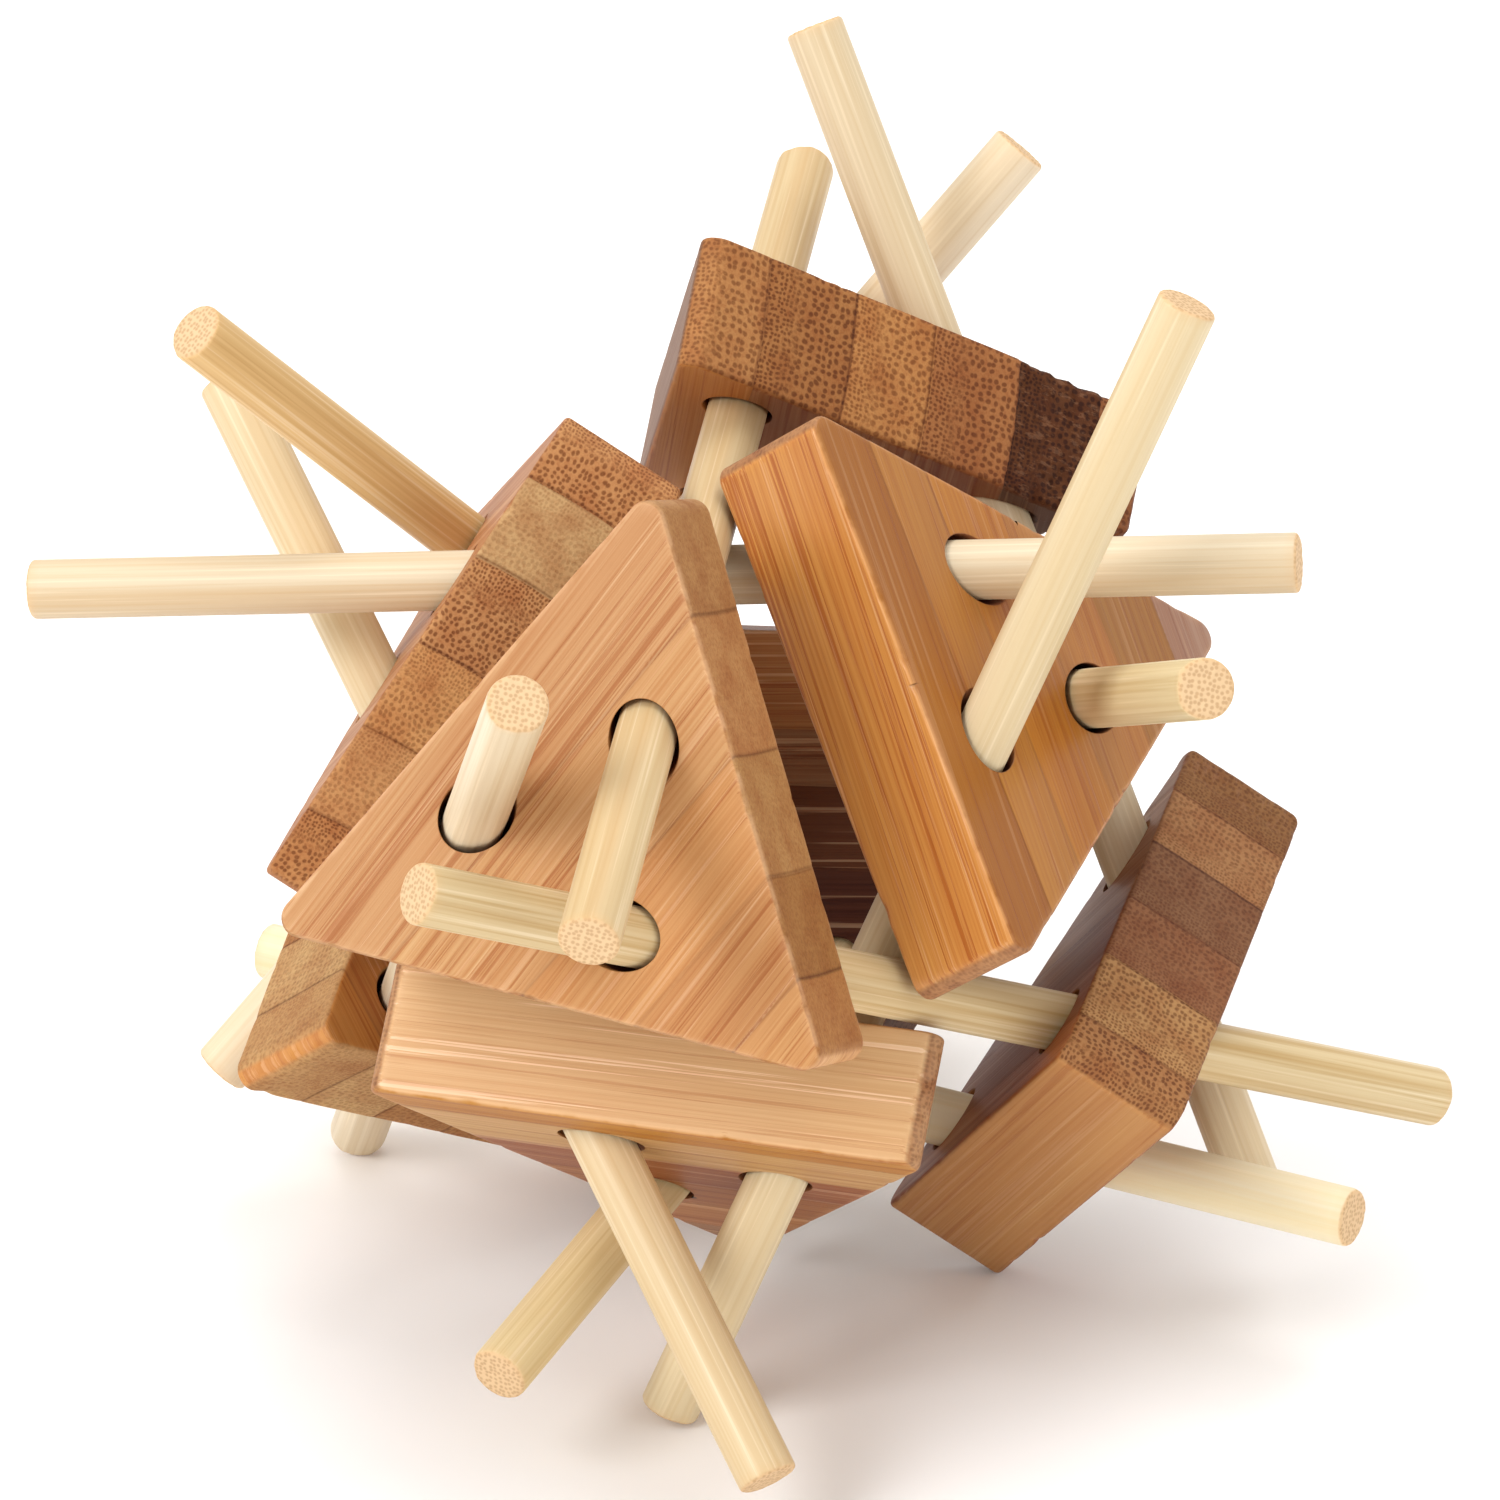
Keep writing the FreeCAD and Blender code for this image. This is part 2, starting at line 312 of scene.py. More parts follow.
# A plate in its own millimetres. Each face is three grids, one a corner, that open from the hole's ellipse to
# the kite between the plate's middle, two side middles and the corner. The walls carry an edge profile
# (quarter round, flat, quarter round) along the outline, and each hole's wall slides its ellipse along the
# hole's slant. Then strips are stepped and the surface is let in by noise, never outwards.
def plateSurface(look, holeMiddle, holeAlong):
    m = plateMaker
    half = m["thickness"] / 2
    outline, inward = outlineThird()
    lean = holeAlong[:2] / np.linalg.norm(holeAlong[:2])
    acrossLean = np.array([-lean[1], lean[0]])
    longAxis, shortAxis = m["holeRadius"] / holeAlong[2], m["holeRadius"]
    points, quads, marks, start = [], [], [], 0  # marks: how much a point belongs to wall, face and bore
    rims = {}
    for side in (1, -1):
        for corner in range(3):
            place = turned(np.concatenate([outline, np.full((len(outline), 1), side * half)], 1), 120 * corner)
            rims[side, corner] = edgeRadius(place, look, side)

    def add(grid, wall, face, bore, closed):
        nonlocal start
        rows, columns = grid.shape[:2]
        points.append(grid.reshape(-1, 3))
        marks.append(np.stack([np.broadcast_to(v, (rows, columns)).reshape(-1) for v in (wall, face, bore)], 1))
        quads.append(gridQuads(rows, columns, start, closed))
        start += rows * columns

    for corner in range(3):
        rings = {}
        for side in (1, -1):
            rim = rims[side, corner][:, None]
            edge = outline + inward * rim
            share = np.linspace(0, 1, m["toMiddle"] + 1)[:, None]
            kite = np.concatenate([edge[:1] * share[:-1], edge, edge[-1:] * share[::-1][1:-1]])
            middle = holeMiddle + holeAlong[:2] / holeAlong[2] * side * half
            ray = kite - middle
            angle = np.unwrap(np.arctan2((ray @ acrossLean) / shortAxis, (ray @ lean) / longAxis))
            rings[side] = angle
            mouth = 1 + m["mouthBevel"] / m["holeRadius"]
            ring = middle + mouth * (np.cos(angle)[:, None] * lean * longAxis
                                     + np.sin(angle)[:, None] * acrossLean * shortAxis)
            t = np.linspace(0, 1, m["acrossFace"] + 1)[:, None, None]
            flat = ring * (1 - t) + kite * t
            face = np.concatenate([flat, np.full(flat.shape[:2] + (1,), side * half)], -1)
            add(turned(face, 120 * corner), 0, side, 0, True)
        rings[-1] = rings[-1] + 2 * math.pi * round((rings[1][0] - rings[-1][0]) / (2 * math.pi))
        bevel = m["mouthBevel"] * np.array([1, 0.45, 0.12, 0])
        drop = m["mouthBevel"] * np.array([0, 0.12, 0.45, 1])
        inside = np.linspace(half - m["mouthBevel"], m["mouthBevel"] - half, m["throughHole"] + 1)[1:-1]
        heights = np.concatenate([half - drop, inside, (drop - half)[::-1]])[:, None]
        grow = 1 + np.concatenate([bevel, inside * 0, bevel[::-1]])[:, None] / m["holeRadius"]
        blend = (half - heights) / m["thickness"]
        angle = rings[1] * (1 - blend) + rings[-1] * blend
        flat = (holeMiddle + (holeAlong[:2] / holeAlong[2]) * heights[..., None]
                + grow[..., None] * (np.cos(angle)[..., None] * lean * longAxis
                                     + np.sin(angle)[..., None] * acrossLean * shortAxis))
        hole = np.concatenate([flat, np.broadcast_to(heights[..., None], flat.shape[:2] + (1,))], -1)
        depth = half - np.abs(heights)
        atFace = np.sign(heights) * (depth < 1e-6)
        # the bore mark grows with depth into the hole: drill scorch together with painted shade in the recess
        add(turned(hole, 120 * corner), 0, atFace, smoothStep(depth, 0.05, 0.9), True)

        quarter = np.radians(np.linspace(0, 90, 6))[:, None]
        top, bottom = rims[1, corner][None], rims[-1, corner][None]
        down = np.linspace(0, 1, m["throughWall"] + 1)[1:-1, None]
        height = np.concatenate([half - top * (1 - np.cos(quarter)),
                                 (half - top) * (1 - down) + (bottom - half) * down,
                                 (bottom * (1 - np.cos(quarter)) - half)[::-1]])
        inset = np.concatenate([top * (1 - np.sin(quarter)), 0 * down * top,
                                (bottom * (1 - np.sin(quarter)))[::-1]])
        wall = np.concatenate([np.sin(quarter), 1 + 0 * down, np.sin(quarter)[::-1]])
        face = np.concatenate([np.cos(quarter), 0 * down, -np.cos(quarter)[::-1]])
        flat = outline + inward * inset[..., None]
        add(turned(np.concatenate([flat, height[..., None]], -1), 120 * corner), wall, face, 0, False)

    points, quads, marks = np.concatenate(points), np.concatenate(quads), np.concatenate(marks)
    random = np.random.default_rng(look["seed"] + 9)
    joints = np.cumsum([strip[0] for strip in look["strips"]])[:-1]
    steps = random.uniform(0, 1, len(joints) + 1) * m["stripStep"]
    across = points[:, 0] + inradius + look["wander"] * smoothNoise(points * [0, 0.1, 1], 24, look["seed"] + 1)
    let = steps[0] + sum(smoothStep(across, joint - 0.15, joint + 0.15) * (b - a)
                         for joint, a, b in zip(joints, steps[:-1], steps[1:]))
    let += m["jointDepth"] * sum(np.exp(-((across - joint) / 0.22) ** 2) for joint in joints)
    let += m["faceRelief"] * (1 + smoothNoise(points * [1, 0.05, 1], 2.6, look["seed"] + 2))
    if look["tornFrom"]:
        torn = smoothStep(across, look["tornFrom"] - 0.4, look["tornFrom"] + 0.4)
        ragged = (np.abs(smoothNoise(points, 1.6, look["seed"] + 3))
                  + np.abs(smoothNoise(points, 4, look["seed"] + 4)))
        let += torn * look["tornDepth"] * 0.5 * ragged * np.abs(marks[:, 0])
    outward = np.zeros_like(points)
    angles = np.arctan2(points[:, 1], points[:, 0])
    nearest = np.round((angles - math.pi / 3) / (2 * math.pi / 3)) * (2 * math.pi / 3) + math.pi / 3
    outward[:, 0], outward[:, 1] = np.cos(nearest), np.sin(nearest)
    edgeGap = inradius - (points * outward).sum(1) + half - np.abs(points[:, 2])  # from the nearest long edge
    corners = np.stack([np.cos(nearest - math.pi / 3), np.sin(nearest - math.pi / 3)], 1) * 2 * inradius
    others = np.stack([np.cos(nearest + math.pi / 3), np.sin(nearest + math.pi / 3)], 1) * 2 * inradius
    cornerGap = np.minimum(*(np.linalg.norm(points[:, :2] - c, axis=1) for c in (corners, others)))
    softener = smoothStep(cornerGap, 1.2, 3.0)
    # rim marks where the edge tone goes; on plates with a pale edge tone it paints a highlight along the rounded
    # edges
    rim = np.maximum(np.exp(-(edgeGap / 0.3) ** 2), 0.35 * np.exp(-(np.maximum(cornerGap - 1.5, 0) / 0.6) ** 2))
    moved = points - outward * (marks[:, 0] * let * softener)[:, None]
    moved[:, 2] -= marks[:, 1] * let
    return moved, quads, np.stack([rim * (1 - marks[:, 2]), marks[:, 2], across], 1)


# what all plates' wood shares: noises are (scale per mm across the grain, detail, roughness), and tones multiply
# the wood, except paleTone, splinterTone and pinholeTone, which cover it
laminate = {
    "alongGrain": 0.008, "threads": (3.6, 3.0, 0.6), "lines": (1.3, 5.0, 0.72), "paleLines": (1.5, 4.0, 0.65),
    "threadTone": "#dcb58c", "lineTone": "#cf9a66", "bandTone": "#dcb398", "paleTone": "#f3cfa8",
    "smallDots": 1.9, "largeDots": 1.25, "dotScatter": 0.55, "dotTone": "#8f6844",
    "cloudTone": "#d0a488", "gritTone": "#c79a7c", "splinterTone": "#94694c",
    "jointTone": "#8a5d45", "boreScorchAndShadeTone": "#a8805f", "pinholeTone": "#2c170d",
    "glueWidth": 0.2, "sawnRoughness": 0.62, "relief": 0.035, "reliefShow": 0.8, "ior": 1.5,
}


# Carbonised bamboo laminate: strips steamed to caramel brown, glued side by side, planed, sanded and wiped with
# thin satin lacquer. The eye sees long fine fibres on faces, dotted bundles on sawn ends, a tone a strip,
# hairline glue joints, and edges lightened by a painted highlight over wear on some plates, darkened on others.
def carbonisedBamboo(name, look, axes, middle):
    material = bpy.data.materials.new(name)
    material.use_nodes = True
    tree = material.node_tree
    tree.nodes.clear()
    place = addNode(tree, "ShaderNodeTexCoord").outputs["Object"]
    board = addNode(tree, "ShaderNodeMapping", {  # the plate's own millimetres
        "Vector": place, "Location": middle * mm, "Rotation": Matrix(axes.tolist()).to_euler("XYZ"),
        "Scale": (mm, mm, mm)}, vector_type="TEXTURE").outputs[0]
    own = addNode(tree, "ShaderNodeSeparateXYZ", {0: board})
    facing = addNode(tree, "ShaderNodeAttribute", attribute_name="facing").outputs["Vector"]
    face = addNode(tree, "ShaderNodeSeparateXYZ", {0: facing})
    marks = addNode(tree, "ShaderNodeAttribute", attribute_name="marks").outputs["Vector"]
    marks = addNode(tree, "ShaderNodeSeparateXYZ", {0: marks})  # edge, hole, and place across the strips
    across = addNode(tree, "ShaderNodeMath", {0: marks.outputs[2], 1: 1 / boardWidth},
                     operation="MULTIPLY").outputs[0]
    random = np.random.default_rng(look["seed"])
    ends = np.cumsum([strip[0] for strip in look["strips"]]) / boardWidth
    starts = np.concatenate([[0], ends[:-1]])
    faceTone = addNode(tree, "ShaderNodeValToRGB", {0: across}, stops=("CONSTANT", [
        (s, toLinear(strip[1], random.uniform())) for s, strip in zip(starts, look["strips"])]))
    endTone = addNode(tree, "ShaderNodeValToRGB", {0: across}, stops=("CONSTANT", [
        (s, toLinear(strip[2], strip[3])) for s, strip in zip(starts, look["strips"])]))
    black, white, jump = (0, 0, 0, 1), (1, 1, 1, 1), 0.0001
    saw = [stop for s, e in zip(starts, ends)
           for stop in ((s + jump, black), (e - jump, white))]  # 0 to 1 in a strip
    depth = addNode(tree, "ShaderNodeValToRGB", {0: across}, stops=("LINEAR", saw)).outputs[0]
    line = laminate["glueWidth"] / boardWidth
    glue = [(0, black)] + [stop for e in ends[:-1] for stop in (
        (e - line, black), (e, white), (e + line, black))]  # hairline glue joints
    joint = addNode(tree, "ShaderNodeValToRGB", {0: across}, stops=("LINEAR", glue)).outputs[0]

    # fibres: threads 0.2 mm, lines 0.4 mm and bands 4 mm across, centimetres long, broken at each strip
    shift = addNode(tree, "ShaderNodeCombineXYZ", {0: faceTone.outputs[1], 1: faceTone.outputs[1]}).outputs[0]
    shift = addNode(tree, "ShaderNodeVectorMath", {0: shift, "Scale": 40.0}, operation="SCALE").outputs[0]
    lean = [math.tan(math.radians(angle)) for angle in look["grainTurn"]]  # grain a little off the edges
    lean = addNode(tree, "ShaderNodeVectorMath", {0: facing, 1: (lean[1], 0, lean[0])},
                   operation="MULTIPLY").outputs[0]
    lean = addNode(tree, "ShaderNodeSeparateXYZ", {0: lean})
    lean = addNode(tree, "ShaderNodeCombineXYZ", {0: lean.outputs[2], 2: lean.outputs[0]}).outputs[0]
    lean = addNode(tree, "ShaderNodeVectorMath", {0: lean, "Scale": own.outputs[1]},
                   operation="SCALE").outputs[0]
    grain = addNode(tree, "ShaderNodeVectorMath", {0: board, 1: lean}, operation="ADD").outputs[0]
    drawn = addNode(tree, "ShaderNodeVectorMath", {0: grain, 1: (1, laminate["alongGrain"], 1), 2: shift},
                    operation="MULTIPLY_ADD").outputs[0]
    beside = addNode(tree, "ShaderNodeVectorMath", {0: drawn, 1: (31.0, 17.0, 23.0)},
                     operation="ADD").outputs[0]
    threads, lines, paleLines = (addNode(tree, "ShaderNodeTexNoise", {
        "Vector": way, "Scale": laminate[kind][0], "Detail": laminate[kind][1], "Roughness": laminate[kind][2]})
        .outputs[0] for kind, way in (("threads", drawn), ("lines", drawn), ("paleLines", beside)))
    bands = addNode(tree, "ShaderNodeTexNoise", {"Vector": drawn, "Scale": 0.22, "Detail": 2.0}).outputs[0]
    lineShare, paleShare = (addNode(tree, "ShaderNodeMapRange", {
        0: face.outputs[0], 1: -0.6, 2: -0.9, 3: look[kind][0], 4: look[kind][1]}).outputs[0]
        for kind in ("lines", "paleLines"))  # from faces to the long-grain side
    threadShow = addNode(tree, "ShaderNodeMapRange", {0: threads, 1: 0.38, 2: 0.68}).outputs[0]
    threadShow = addNode(tree, "ShaderNodeMath", {0: threadShow, 1: lineShare},
                         operation="MULTIPLY").outputs[0]
    lineShow = addNode(tree, "ShaderNodeMapRange", {0: lines, 1: 0.545, 2: 0.585}).outputs[0]
    lineShow = addNode(tree, "ShaderNodeMath", {0: lineShow, 1: lineShare}, operation="MULTIPLY").outputs[0]
    bandShow = addNode(tree, "ShaderNodeMapRange", {0: bands, 1: 0.4, 2: 0.65, 4: 0.35}).outputs[0]
    paleShow = addNode(tree, "ShaderNodeMapRange", {0: paleLines, 1: 0.57, 2: 0.6}).outputs[0]
    paleShow = addNode(tree, "ShaderNodeMath", {0: paleShow, 1: paleShare}, operation="MULTIPLY").outputs[0]
    sideShare = addNode(tree, "ShaderNodeMapRange", {0: face.outputs[0], 1: -0.6, 2: -0.9}).outputs[0]
    tone = addNode(tree, "ShaderNodeMix", {0: sideShare, 6: faceTone.outputs[0], 7: toLinear(look["sideTone"])},
                   data_type="RGBA").outputs[2]
    tone = addNode(tree, "ShaderNodeMix", {0: bandShow, 6: tone, 7: toLinear(laminate["bandTone"])},
                   data_type="RGBA", blend_type="MULTIPLY").outputs[2]
    tone = addNode(tree, "ShaderNodeMix", {0: paleShow, 6: tone, 7: toLinear(laminate["paleTone"])},
                   data_type="RGBA").outputs[2]
    tone = addNode(tree, "ShaderNodeMix", {0: threadShow, 6: tone, 7: toLinear(laminate["threadTone"])},
                   data_type="RGBA", blend_type="MULTIPLY").outputs[2]
    tone = addNode(tree, "ShaderNodeMix", {0: lineShow, 6: tone, 7: toLinear(laminate["lineTone"])},
                   data_type="RGBA", blend_type="MULTIPLY").outputs[2]

    # sawn ends: bundles about 0.3 mm and crowded at one side of a strip, 0.5 mm and open at the other
    warp = addNode(tree, "ShaderNodeTexNoise", {"Vector": board, "Scale": 0.35, "Detail": 1.0}).outputs[1]
    section = addNode(tree, "ShaderNodeVectorMath", {0: warp, 1: (0.9, 0.9, 0.9), 2: board},
                      operation="MULTIPLY_ADD").outputs[0]
    section = addNode(tree, "ShaderNodeSeparateXYZ", {0: section})
    section = addNode(tree, "ShaderNodeCombineXYZ", {0: section.outputs[0], 1: section.outputs[2]}).outputs[0]
    small, large = (addNode(tree, "ShaderNodeTexVoronoi", {
        "Vector": section, "Scale": laminate[kind] * look["fineness"], "Randomness": laminate["dotScatter"]},
        voronoi_dimensions="2D").outputs[0] for kind in ("smallDots", "largeDots"))
    small = addNode(tree, "ShaderNodeMapRange", {0: small, 1: 0.46, 2: 0.22}).outputs[0]
    large = addNode(tree, "ShaderNodeMapRange", {0: large, 1: 0.42, 2: 0.24}).outputs[0]
    crowd = addNode(tree, "ShaderNodeMapRange", {0: depth, 1: 0.2, 2: 0.45}).outputs[0]
    dots = addNode(tree, "ShaderNodeMix", {0: crowd, 2: small, 3: large}).outputs[0]
    dots = addNode(tree, "ShaderNodeMath", {0: dots, 1: endTone.outputs[1]}, operation="MULTIPLY").outputs[0]
    grit = addNode(tree, "ShaderNodeTexNoise", {"Vector": board, "Scale": 3.0, "Detail": 4.0, "Roughness": 0.7})
    grit = grit.outputs[0]
    cloudy = addNode(tree, "ShaderNodeTexNoise", {"Vector": board, "Scale": 0.3, "Detail": 3.0}).outputs[0]
    cloudyDark = addNode(tree, "ShaderNodeMapRange", {0: cloudy, 1: 0.4, 2: 0.7, 4: 0.5}).outputs[0]
    gritDark = addNode(tree, "ShaderNodeMapRange", {0: grit, 1: 0.45, 2: 0.7, 4: 0.5}).outputs[0]
    sawn = addNode(tree, "ShaderNodeMix", {
        0: cloudyDark, 6: endTone.outputs[0], 7: toLinear(laminate["cloudTone"])},
                   data_type="RGBA", blend_type="MULTIPLY").outputs[2]
    sawn = addNode(tree, "ShaderNodeMix", {0: gritDark, 6: sawn, 7: toLinear(laminate["gritTone"])},
                   data_type="RGBA", blend_type="MULTIPLY").outputs[2]
    sawn = addNode(tree, "ShaderNodeMix", {0: dots, 6: sawn, 7: toLinear(laminate["dotTone"])},
                   data_type="RGBA", blend_type="MULTIPLY").outputs[2]
    if look["tornFrom"]:  # a scorched, splintered block: pale broken fibres over nearly black
        splinters = addNode(tree, "ShaderNodeVectorMath", {0: board, 1: (0.5, 0.3, 1.6)},
                            operation="MULTIPLY").outputs[0]
        splinters = addNode(tree, "ShaderNodeTexNoise", {
            "Vector": splinters, "Scale": 1.3, "Detail": 4.0, "Roughness": 0.7}).outputs[0]
        splinters = addNode(tree, "ShaderNodeMapRange", {0: splinters, 1: 0.54, 2: 0.62}).outputs[0]
        block = look["tornFrom"] / boardWidth
        inBlock = addNode(tree, "ShaderNodeMapRange", {
            0: across, 1: block - 0.002, 2: block + 0.002, 4: 0.3}).outputs[0]
        splinters = addNode(tree, "ShaderNodeMath", {0: splinters, 1: inBlock},
                            operation="MULTIPLY").outputs[0]
        sawn = addNode(tree, "ShaderNodeMix", {0: splinters, 6: sawn, 7: toLinear(laminate["splinterTone"])},
                       data_type="RGBA").outputs[2]
    endways = addNode(tree, "ShaderNodeMath", {0: face.outputs[1]}, operation="ABSOLUTE").outputs[0]
    endways = addNode(tree, "ShaderNodeMapRange", {0: endways, 1: 0.3, 2: 0.55}).outputs[0]
    colour = addNode(tree, "ShaderNodeMix", {0: endways, 6: tone, 7: sawn}, data_type="RGBA").outputs[2]
    jointShow = addNode(tree, "ShaderNodeMapRange", {0: endways, 3: 0.3, 4: 0.7}).outputs[0]
    jointShow = addNode(tree, "ShaderNodeMath", {0: joint, 1: jointShow}, operation="MULTIPLY").outputs[0]
    colour = addNode(tree, "ShaderNodeMix", {0: jointShow, 6: colour, 7: toLinear(laminate["jointTone"])},
                     data_type="RGBA", blend_type="MULTIPLY").outputs[2]

    # edges: in patches, pale as a painted highlight over wear on some plates, darkened on others; holes:
    # scorched by the drill, with painted shade deeper in
    patch = addNode(tree, "ShaderNodeTexNoise", {"Vector": board, "Scale": 0.45, "Detail": 3.0}).outputs[0]
    patch = addNode(tree, "ShaderNodeMapRange", {0: patch, 1: 0.34, 2: 0.5, 4: look["edgeShow"]}).outputs[0]
    # pale edge tones paint a highlight along the edges over wear
    edgeHighlightAndWear = addNode(tree, "ShaderNodeMath", {0: marks.outputs[0], 1: patch}, operation="MULTIPLY").outputs[0]
    colour = addNode(tree, "ShaderNodeMix", {0: edgeHighlightAndWear, 6: colour, 7: toLinear(look["edgeTone"])},
                     data_type="RGBA").outputs[2]
    # darker into the holes: drill scorch and painted shade
    colour = addNode(tree, "ShaderNodeMix", {0: marks.outputs[1], 6: colour, 7: toLinear(laminate["boreScorchAndShadeTone"])},
                     data_type="RGBA", blend_type="MULTIPLY").outputs[2]
    if look["pinhole"]:  # a pinhole 0.7 mm across in the outer face
        away = addNode(tree, "ShaderNodeVectorMath", {
            0: board, 1: (*look["pinhole"], plateMaker["thickness"] / 2)}, operation="DISTANCE")
        pit = addNode(tree, "ShaderNodeMapRange", {0: away.outputs[1], 1: 0.5, 2: 0.3}).outputs[0]
        colour = addNode(tree, "ShaderNodeMix", {0: pit, 6: colour, 7: toLinear(laminate["pinholeTone"])},
                         data_type="RGBA").outputs[2]

    # gloss: lacquer fills the faces and sinks into sawn ends
    gloss = addNode(tree, "ShaderNodeMapRange", {
        0: endways, 3: look["roughness"], 4: laminate["sawnRoughness"]}).outputs[0]
    gloss = addNode(tree, "ShaderNodeMath", {0: threads, 1: 0.18, 2: gloss},
                    operation="MULTIPLY_ADD").outputs[0]
    lengthways = addNode(tree, "ShaderNodeMath", {0: endways, 1: -1.0, 2: 1.0},
                         operation="MULTIPLY_ADD").outputs[0]
    fibreHeight = addNode(tree, "ShaderNodeMath", {0: threads, 1: lengthways},
                          operation="MULTIPLY").outputs[0]
    sunk = addNode(tree, "ShaderNodeMath", {0: dots, 1: endways}, operation="MULTIPLY").outputs[0]
    gritty = addNode(tree, "ShaderNodeMath", {0: grit, 1: endways}, operation="MULTIPLY").outputs[0]
    height = addNode(tree, "ShaderNodeMath", {0: sunk, 1: -0.9, 2: fibreHeight},
                     operation="MULTIPLY_ADD").outputs[0]
    height = addNode(tree, "ShaderNodeMath", {0: gritty, 1: 1.6, 2: height},
                     operation="MULTIPLY_ADD").outputs[0]
    height = addNode(tree, "ShaderNodeMath", {0: lineShow, 1: -0.5, 2: height},
                     operation="MULTIPLY_ADD").outputs[0]
    inner = addNode(tree, "ShaderNodeMath", {0: marks.outputs[0], 1: -0.8, 2: 1.0},
                    operation="MULTIPLY_ADD").outputs[0]
    height = addNode(tree, "ShaderNodeMath", {0: height, 1: inner}, operation="MULTIPLY").outputs[0]
    bump = addNode(tree, "ShaderNodeBump", {
        "Height": height, "Distance": laminate["relief"] * mm, "Strength": laminate["reliefShow"]}).outputs[0]
    shader = addNode(tree, "ShaderNodeBsdfPrincipled", {
        "Base Color": colour, "Roughness": gloss, "IOR": laminate["ior"], "Specular IOR Level": look["shine"],
        "Normal": bump})
    addNode(tree, "ShaderNodeOutputMaterial", {0: shader.outputs[0]})
    return material


for node, look in plateLooks.items():
    axes, middle = plateAxes(node, look["grainCorner"])
    holeMiddle = crossing(look["grainCorner"], middle, axes[:, 2]) @ axes
    holeAlong = stickLines[look["grainCorner"]][1] @ axes
    holeAlong = holeAlong * np.sign(holeAlong[2])
    points, quads, marks = plateSurface(look, holeMiddle[:2], holeAlong)
    piece = makePiece(node + "_bamboo", points, quads, marks, axes, middle)
    piece.data.materials.append(carbonisedBamboo("carbonised bamboo laminate, " + node, look, axes, middle))
    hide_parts(node)
    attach(piece, "plate_assembly")
print("plates made")


# sticks are split from bamboo and turned to round rods; millimetres, then how many steps a grid has
stickMaker = {
    "length": 105.0, "radius": 2.5,  # as in the part's source
    "endRounding": 0.4, "endSlant": 0.035, "ridges": 0.022, "slowWaviness": 0.03,
    "around": 80, "along": 140, "acrossEnd": 7,
}

# tone of the straw, stripeTone of its fibre lines and bands, and how strongly they show, 0 to 1
stickLooks = {
    "stick_front_to_top": {"seed": 3, "tone": "#ceb68c", "stripeTone": "#b8915c", "stripes": 0.35},
    "stick_front_to_lower_right": {"seed": 5, "tone": "#dbc79e", "stripeTone": "#b59156", "stripes": 0.65},
    "stick_front_to_lower_left": {"seed": 7, "tone": "#e1d1b5", "stripeTone": "#c2a578", "stripes": 0.45},
    "stick_top_to_lower_right": {"seed": 9, "tone": "#dbcaaa", "stripeTone": "#bf9e6e", "stripes": 0.3},
    "stick_lower_right_to_lower_left": {"seed": 13, "tone": "#ebdfc0", "stripeTone": "#e7d19a", "stripes": 0.35},
    "stick_top_to_lower_left": {"seed": 15, "tone": "#ead9bd", "stripeTone": "#d1b281", "stripes": 0.3},
    "stick_right_to_upper_left": {"seed": 17, "tone": "#d8c8ab", "stripeTone": "#c5a171", "stripes": 0.35},
    "stick_right_to_bottom": {"seed": 19, "tone": "#ddcba6", "stripeTone": "#c7a876", "stripes": 0.3},
    "stick_upper_left_to_bottom": {"seed": 21, "tone": "#dac49d", "stripeTone": "#c39f6b", "stripes": 0.35},
    "stick_right_to_back": {"seed": 25, "tone": "#dfcea5", "stripeTone": "#bda069", "stripes": 0.45},
    "stick_bottom_to_back": {"seed": 27, "tone": "#e5d0a1", "stripeTone": "#c5a46a", "stripes": 0.45},
    "stick_upper_left_to_back": {"seed": 29, "tone": "#e1bf87", "stripeTone": "#be9356", "stripes": 0.6},
}


